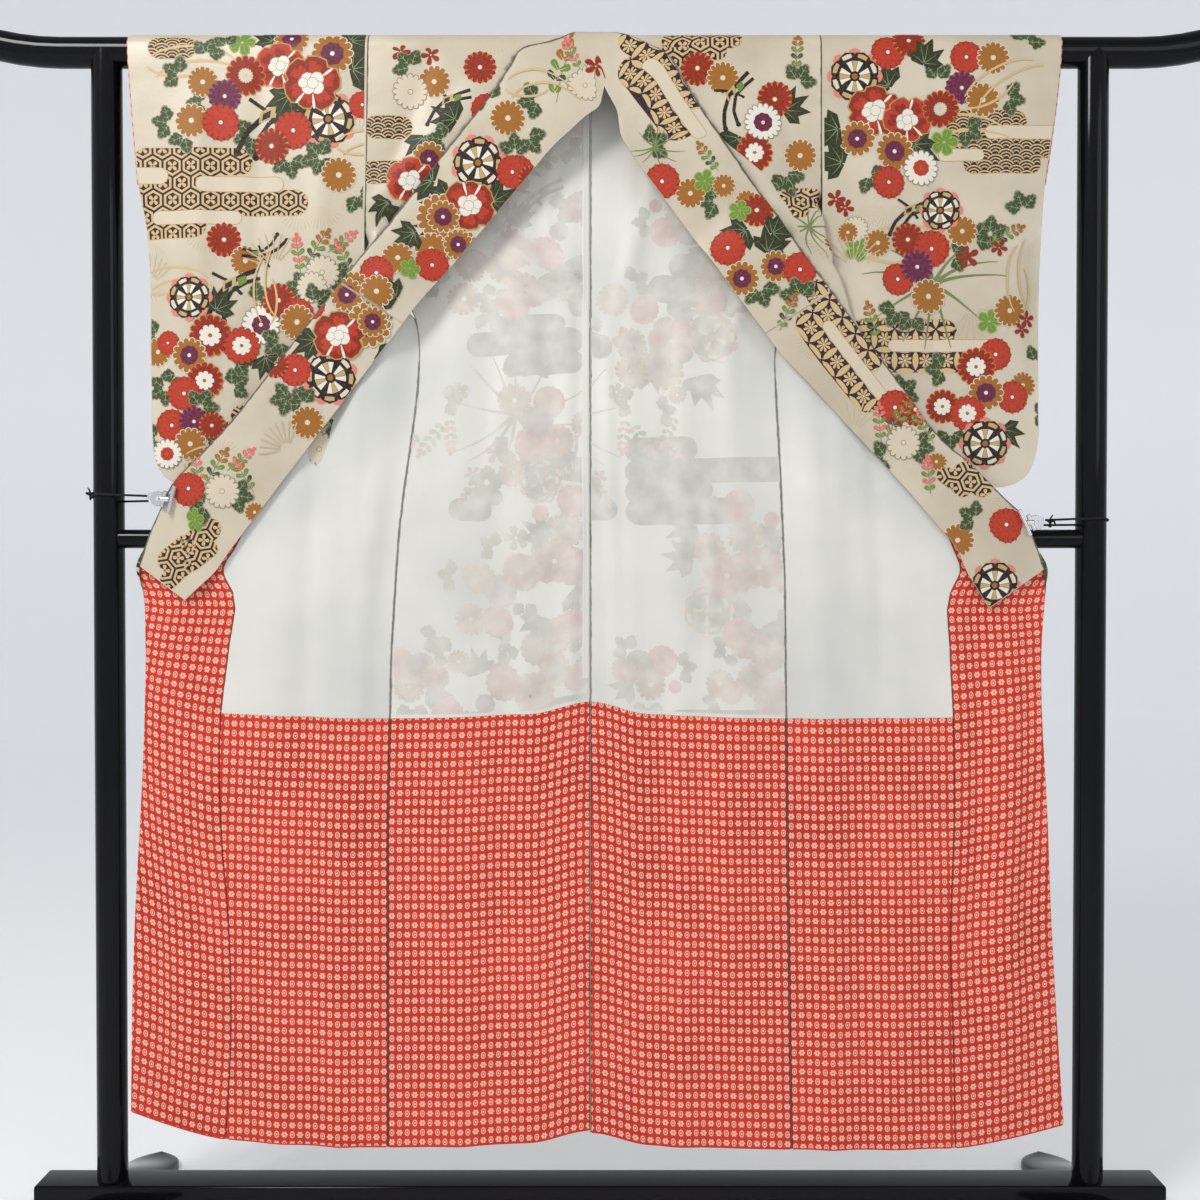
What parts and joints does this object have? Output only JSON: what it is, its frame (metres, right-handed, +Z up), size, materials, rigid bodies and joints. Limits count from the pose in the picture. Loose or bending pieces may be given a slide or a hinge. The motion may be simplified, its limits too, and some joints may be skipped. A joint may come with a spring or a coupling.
{
  "type": "komon kimono on rack stand",
  "caption": "Lined silk kimono with a small all-over pattern, hung open on a free-standing rack of black tube, its fronts folded outwards and clipped to the posts.",
  "frame": {"origin": "centre of the footprint, on the floor", "axes": "+Z up, +X to the right as seen from the front, the open front faces -Y"},
  "size_m": [1.869, 0.4, 1.7399],
  "materials": {
    "black_enamel": "gloss",
    "clip_metal": "bright",
    "elastic_cord": "matte",
    "print_cloth": "soft silk sheen",
    "white_lining": "soft",
    "red_lining": "soft"
  },
  "bodies": {
    "root": {"base_rail": "black_enamel", "body_left": "print_cloth", "body_right": "print_cloth", "clip_cord_left": "elastic_cord", "clip_cord_right": "elastic_cord", "clip_left": "clip_metal", "clip_right": "clip_metal", "collar": "print_cloth", "cuff_lining_left": "red_lining", "cuff_lining_right": "red_lining", "foot_left": "black_enamel", "foot_right": "black_enamel", "lining_left": "white_lining", "lining_right": "white_lining", "okumi_left": "print_cloth", "okumi_lining_left": "red_lining", "okumi_lining_right": "red_lining", "okumi_right": "print_cloth", "over_collar": "print_cloth", "post_left": "black_enamel", "post_right": "black_enamel", "rung": "black_enamel", "skirt_back_left": "red_lining", "skirt_back_right": "red_lining", "skirt_front_left": "red_lining", "skirt_front_right": "red_lining", "sleeve_left": "print_cloth", "sleeve_right": "print_cloth", "top_bar": "black_enamel"}
  },
  "joints": []
}
